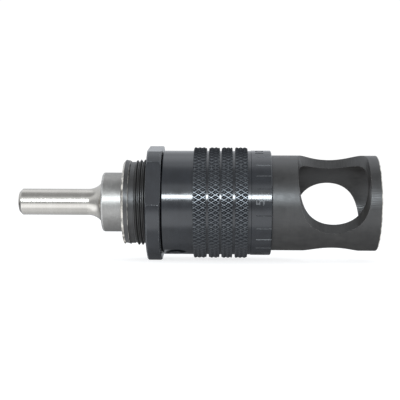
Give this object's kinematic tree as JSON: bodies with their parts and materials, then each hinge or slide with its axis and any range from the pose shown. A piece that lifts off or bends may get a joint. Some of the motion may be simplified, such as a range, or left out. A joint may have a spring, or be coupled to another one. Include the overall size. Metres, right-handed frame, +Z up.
{
  "type": "depth-stop countersink cage",
  "caption": "Adjustable depth-stop cage for a countersink cutter: drive shank, lock nut with spanner flats, knurled graduated sleeve and a sprung skirt foot with side windows.",
  "frame": {"origin": "point below the middle of the tool, level with the lowest corner of the lock nut", "axes": "+X along the tool axis from the drive shank to the foot, +Z up, the windows looking to -Y and up and to +Y and down"},
  "size_m": [0.086, 0.0282, 0.0275],
  "materials": {
    "black_satin": "satin black oxide",
    "black_polished": "polished black oxide",
    "bright_steel": "fine turned and polished",
    "ground_steel": "ground",
    "spring_steel": "oil tempered",
    "brass_cage": "pressed",
    "seal_rubber": "matte"
  },
  "bodies": {
    "body": {"threaded_body": "black_satin", "guide_pin_a": "ground_steel", "guide_pin_b": "ground_steel", "foot_spring": "spring_steel", "spring_seat": "ground_steel", "body_clip": "spring_steel", "preload_washer": "spring_steel", "dust_seal": "seal_rubber", "front_bearing_outer_ring": "ground_steel", "front_bearing_shield": "ground_steel", "rear_bearing_outer_ring": "ground_steel", "rear_bearing_shield": "ground_steel", "outer_spacer": "ground_steel"},
    "foot": {"foot_piece": "black_satin"},
    "stop": {"stop_washer": "ground_steel"},
    "sleeve": {"micrometer_sleeve": "black_polished", "stop_clip": "spring_steel"},
    "lock": {"lock_washer": "black_satin"},
    "nut": {"lock_nut": "black_polished"},
    "spindle": {"spindle": "bright_steel", "cutter_socket": "bright_steel", "front_bearing_inner_ring": "ground_steel", "rear_bearing_inner_ring": "ground_steel", "inner_spacer": "ground_steel"},
    "front_balls": {"front_bearing_ball_cage": "brass_cage", "front_bearing_ball_1": "bright_steel", "front_bearing_ball_2": "bright_steel", "front_bearing_ball_3": "bright_steel", "front_bearing_ball_4": "bright_steel", "front_bearing_ball_5": "bright_steel", "front_bearing_ball_6": "bright_steel", "front_bearing_ball_7": "bright_steel", "front_bearing_ball_8": "bright_steel"},
    "rear_balls": {"rear_bearing_ball_cage": "brass_cage", "rear_bearing_ball_1": "bright_steel", "rear_bearing_ball_2": "bright_steel", "rear_bearing_ball_3": "bright_steel", "rear_bearing_ball_4": "bright_steel", "rear_bearing_ball_5": "bright_steel", "rear_bearing_ball_6": "bright_steel", "rear_bearing_ball_7": "bright_steel", "rear_bearing_ball_8": "bright_steel"}
  },
  "joints": [
    {"name": "foot_slide", "type": "slide", "parent": "body", "child": "foot", "axis": [-1, 0, 0], "range_m": [0, 0.006], "stiffness_N_per_m": 1500, "springref_m": -0.005, "deforming": ["foot_spring"]},
    {"name": "sleeve_travel", "type": "slide", "parent": "body", "child": "stop", "axis": [1, 0, 0], "range_m": [0, 0.00181]},
    {"name": "sleeve_turn", "type": "hinge", "parent": "stop", "child": "sleeve", "pos_m": [0, 0, 0.01376], "axis": [1, 0, 0], "range_deg": [0, 720]},
    {"name": "nut_travel", "type": "slide", "parent": "body", "child": "lock", "axis": [1, 0, 0], "range_m": [-0.00181, 0]},
    {"name": "nut_turn", "type": "hinge", "parent": "lock", "child": "nut", "pos_m": [0, 0, 0.01376], "axis": [1, 0, 0], "range_deg": [-720, 0]},
    {"name": "spindle_turn", "type": "hinge", "parent": "body", "child": "spindle", "pos_m": [0, 0, 0.01376], "axis": [1, 0, 0], "continuous": true},
    {"name": "front_ball_orbit", "type": "hinge", "parent": "body", "child": "front_balls", "pos_m": [0, 0, 0.01376], "axis": [1, 0, 0], "continuous": true},
    {"name": "rear_ball_orbit", "type": "hinge", "parent": "body", "child": "rear_balls", "pos_m": [0, 0, 0.01376], "axis": [1, 0, 0], "continuous": true}
  ],
  "couplings": [
    {"joint": "sleeve_turn", "follows": "sleeve_travel", "rad_per_m": 6926.3},
    {"joint": "nut_turn", "follows": "nut_travel", "rad_per_m": 6926.3},
    {"joint": "front_ball_orbit", "follows": "spindle_turn", "ratio": 0.3928},
    {"joint": "rear_ball_orbit", "follows": "spindle_turn", "ratio": 0.3928}
  ]
}
